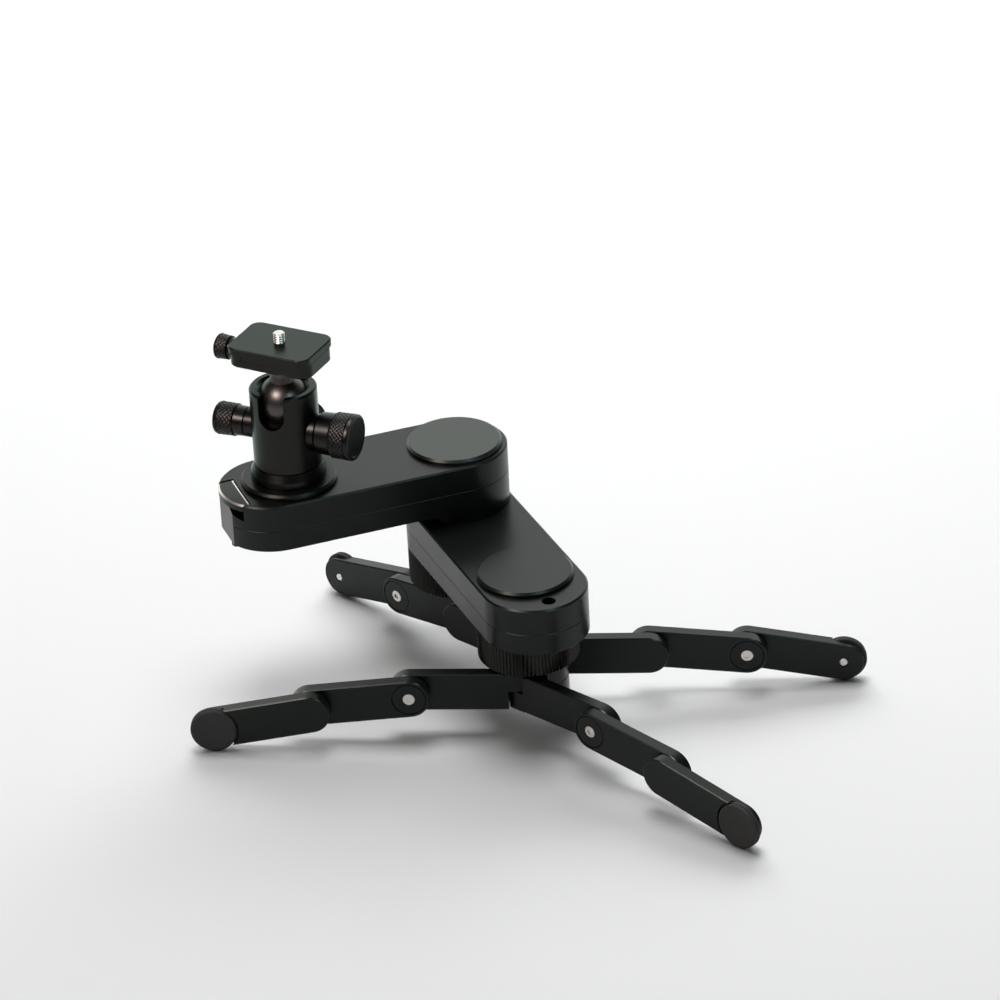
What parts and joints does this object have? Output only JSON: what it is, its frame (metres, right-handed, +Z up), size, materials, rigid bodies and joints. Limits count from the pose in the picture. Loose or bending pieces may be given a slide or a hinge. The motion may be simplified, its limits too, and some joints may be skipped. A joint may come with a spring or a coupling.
{
  "type": "camera slider",
  "caption": "Folding-arm camera slider: two belt-linked arms on folding jointed legs carry a ball head with a quick-release camera plate.",
  "frame": {"origin": "middle of the bottom of the bounding box, on the surface that the feet stand on", "axes": "+Z up; X along the long way across the spread legs; seen from -Y the camera head is on the left"},
  "size_m": [0.3686, 0.3042, 0.2115],
  "materials": {
    "anodised": "bead-blasted and anodised black",
    "head_metal": "matt black anodised",
    "grip": "ribbed or knurled, black",
    "bearing_steel": "ground",
    "bolt_steel": "plain, satin",
    "shaft_alloy": "turned, plain",
    "rubber": "moulded, matt",
    "belt": "toothed",
    "plastic": "moulded, satin"
  },
  "bodies": {
    "hub": {"hub_block": "anodised", "hub_hinge_pins": "bearing_steel", "hub_spindle": "shaft_alloy"},
    "lock_ring": {"lock_ring": "grip"},
    "lower_arm": {"lower_arm_bottom": "anodised", "lower_arm_top": "anodised", "hub_cap": "anodised", "lower_arm_bearings": "bearing_steel", "lower_belt": "belt", "elbow_shaft": "shaft_alloy"},
    "drag_knob": {"drag_knob": "grip"},
    "upper_arm": {"upper_arm_bottom": "anodised", "upper_arm_top": "anodised", "elbow_cap": "anodised", "elbow_spindle": "shaft_alloy", "upper_arm_bearings": "bearing_steel", "upper_belt": "belt", "lever_pin": "bearing_steel", "lock_spring": "bearing_steel"},
    "lock_lever": {"lock_lever": "anodised"},
    "lock_pin": {"lock_pin": "anodised"},
    "platform": {"platform_spindle": "shaft_alloy", "platform_disc": "anodised", "head_base": "head_metal"},
    "head": {"head_housing": "head_metal", "ball_cup": "plastic"},
    "lock_knob": {"lock_knob": "grip"},
    "friction_knob": {"friction_knob": "grip"},
    "pan_knob": {"pan_knob": "grip"},
    "ball": {"ball_stem": "head_metal"},
    "clamp": {"clamp_body": "head_metal", "camera_plate": "head_metal"},
    "clamp_jaw": {"clamp_jaw": "head_metal"},
    "clamp_knob": {"clamp_knob": "grip"},
    "camera_screw": {"camera_screw": "bolt_steel"},
    "front_left_inner": {"front_left_link_1": "anodised"},
    "front_left_middle": {"front_left_link_2": "anodised", "front_left_knuckle_caps": "anodised", "front_left_knuckle_bolts": "bolt_steel"},
    "front_left_outer": {"front_left_link_3": "anodised", "front_left_foot": "rubber"},
    "front_right_inner": {"front_right_link_1": "anodised"},
    "front_right_middle": {"front_right_link_2": "anodised", "front_right_knuckle_caps": "anodised", "front_right_knuckle_bolts": "bolt_steel"},
    "front_right_outer": {"front_right_link_3": "anodised", "front_right_foot": "rubber"},
    "rear_left_inner": {"rear_left_link_1": "anodised"},
    "rear_left_middle": {"rear_left_link_2": "anodised", "rear_left_knuckle_caps": "anodised", "rear_left_knuckle_bolts": "bolt_steel"},
    "rear_left_outer": {"rear_left_link_3": "anodised", "rear_left_foot": "rubber"},
    "rear_right_inner": {"rear_right_link_1": "anodised"},
    "rear_right_middle": {"rear_right_link_2": "anodised", "rear_right_knuckle_caps": "anodised", "rear_right_knuckle_bolts": "bolt_steel"},
    "rear_right_outer": {"rear_right_link_3": "anodised", "rear_right_foot": "rubber"}
  },
  "joints": [
    {"name": "lock_ring_turn", "type": "hinge", "parent": "hub", "child": "lock_ring", "pos_m": [0.00005, -0.00152, 0.05], "axis": [0, 0, 1], "range_deg": [-60, 60]},
    {"name": "arm_swing", "type": "hinge", "parent": "hub", "child": "lower_arm", "pos_m": [0.00005, -0.00152, 0.05], "axis": [0, 0, 1], "range_deg": [-131, 38.5]},
    {"name": "drag_knob_turn", "type": "hinge", "parent": "lower_arm", "child": "drag_knob", "pos_m": [-0.03461, 0.08693, 0.08], "axis": [0, 0, 1], "range_deg": [-150, 150]},
    {"name": "elbow_swing", "type": "hinge", "parent": "lower_arm", "child": "upper_arm", "pos_m": [-0.03461, 0.08693, 0.08], "axis": [0, 0, 1], "range_deg": [-77.5, 262.5]},
    {"name": "platform_turn", "type": "hinge", "parent": "upper_arm", "child": "platform", "pos_m": [-0.12449, 0.05616, 0.13], "axis": [0, 0, 1], "range_deg": [-131.5, 39]},
    {"name": "lock_lever_lift", "type": "hinge", "parent": "upper_arm", "child": "lock_lever", "pos_m": [-0.15438, 0.05702, 0.1205], "axis": [-0.9461, -0.3239, 0], "range_deg": [0, 25], "stiffness_Nm_per_rad": 0.03, "springref_deg": -14.32},
    {"name": "lock_pin_lift", "type": "slide", "parent": "upper_arm", "child": "lock_pin", "axis": [0, 0, 1], "range_m": [0, 0.0031], "deforming": ["lock_spring"]},
    {"name": "head_pan", "type": "hinge", "parent": "platform", "child": "head", "pos_m": [-0.12449, 0.05616, 0.13], "axis": [0, 0, 1], "continuous": true},
    {"name": "ball_tilt", "type": "hinge", "parent": "head", "child": "ball", "pos_m": [-0.12449, 0.05616, 0.171], "axis": [0.9184, -0.3955, 0], "range_deg": [-20, 90]},
    {"name": "ball_spin", "type": "hinge", "parent": "ball", "child": "clamp", "pos_m": [-0.12449, 0.05616, 0.171], "axis": [0, 0, 1], "continuous": true},
    {"name": "lock_knob_turn", "type": "hinge", "parent": "head", "child": "lock_knob", "pos_m": [-0.09694, 0.04429, 0.1541], "axis": [0.9184, -0.3955, 0], "range_deg": [0, 270]},
    {"name": "friction_knob_turn", "type": "hinge", "parent": "head", "child": "friction_knob", "pos_m": [-0.15204, 0.06803, 0.1541], "axis": [-0.9184, 0.3955, 0], "range_deg": [0, 270]},
    {"name": "pan_knob_turn", "type": "hinge", "parent": "head", "child": "pan_knob", "pos_m": [-0.1146, 0.07912, 0.1445], "axis": [0.3955, 0.9184, 0], "range_deg": [0, 180]},
    {"name": "clamp_knob_turn", "type": "hinge", "parent": "clamp", "child": "clamp_knob", "pos_m": [-0.15098, 0.07024, 0.1964], "axis": [-0.8829, 0.4695, 0], "range_deg": [0, 540]},
    {"name": "clamp_jaw_slide", "type": "slide", "parent": "clamp", "child": "clamp_jaw", "axis": [-0.8829, 0.4695, 0], "range_m": [0, 0.0012]},
    {"name": "camera_screw_turn", "type": "hinge", "parent": "clamp", "child": "camera_screw", "pos_m": [-0.12449, 0.05616, 0.206], "axis": [0, 0, 1], "continuous": true},
    {"name": "front_left_swing", "type": "hinge", "parent": "hub", "child": "front_left_inner", "pos_m": [-0.00632, -0.01931, 0.02793], "axis": [0, 0, 1], "range_deg": [-14, 31]},
    {"name": "front_left_knuckle_1", "type": "hinge", "parent": "front_left_inner", "child": "front_left_middle", "pos_m": [-0.06463, -0.01349, 0.02763], "axis": [-0.0993, -0.9951, 0], "range_deg": [-5.4, 65]},
    {"name": "front_left_knuckle_2", "type": "hinge", "parent": "front_left_middle", "child": "front_left_outer", "pos_m": [-0.1177, -0.00819, 0.0223], "axis": [-0.0993, -0.9951, 0], "range_deg": [-4.7, 65]},
    {"name": "front_right_swing", "type": "hinge", "parent": "hub", "child": "front_right_inner", "pos_m": [-0.00632, -0.01931, 0.02793], "axis": [0, 0, 1], "range_deg": [-22.5, 22.5]},
    {"name": "front_right_knuckle_1", "type": "hinge", "parent": "front_right_inner", "child": "front_right_middle", "pos_m": [0.03709, -0.05867, 0.02763], "axis": [0.6717, 0.7408, 0], "range_deg": [-5.4, 65]},
    {"name": "front_right_knuckle_2", "type": "hinge", "parent": "front_right_middle", "child": "front_right_outer", "pos_m": [0.0766, -0.0945, 0.0223], "axis": [0.6717, 0.7408, 0], "range_deg": [-4.7, 65]},
    {"name": "rear_left_swing", "type": "hinge", "parent": "hub", "child": "rear_left_inner", "pos_m": [0.00642, 0.01628, 0.02793], "axis": [0, 0, 1], "range_deg": [-21, 24]},
    {"name": "rear_left_knuckle_1", "type": "hinge", "parent": "rear_left_inner", "child": "rear_left_middle", "pos_m": [-0.03594, 0.05676, 0.02763], "axis": [-0.6909, -0.723, 0], "range_deg": [-5.4, 65]},
    {"name": "rear_left_knuckle_2", "type": "hinge", "parent": "rear_left_middle", "child": "rear_left_outer", "pos_m": [-0.0745, 0.09361, 0.0223], "axis": [-0.6909, -0.723, 0], "range_deg": [-4.7, 65]},
    {"name": "rear_right_swing", "type": "hinge", "parent": "hub", "child": "rear_right_inner", "pos_m": [0.00642, 0.01628, 0.02793], "axis": [0, 0, 1], "range_deg": [-15.5, 29]},
    {"name": "rear_right_knuckle_1", "type": "hinge", "parent": "rear_right_inner", "child": "rear_right_middle", "pos_m": [0.06487, 0.01209, 0.02763], "axis": [0.0715, 0.9974, 0], "range_deg": [-5.4, 65]},
    {"name": "rear_right_knuckle_2", "type": "hinge", "parent": "rear_right_middle", "child": "rear_right_outer", "pos_m": [0.11807, 0.00827, 0.0223], "axis": [0.0715, 0.9974, 0], "range_deg": [-4.7, 65]}
  ],
  "couplings": [
    {"joint": "elbow_swing", "follows": "arm_swing", "ratio": -2},
    {"joint": "platform_turn", "follows": "arm_swing", "ratio": 1},
    {"joint": "lock_pin_lift", "follows": "lock_lever_lift", "m_per_rad": 0.006875},
    {"joint": "clamp_jaw_slide", "follows": "clamp_knob_turn", "m_per_rad": 0.00012626}
  ]
}
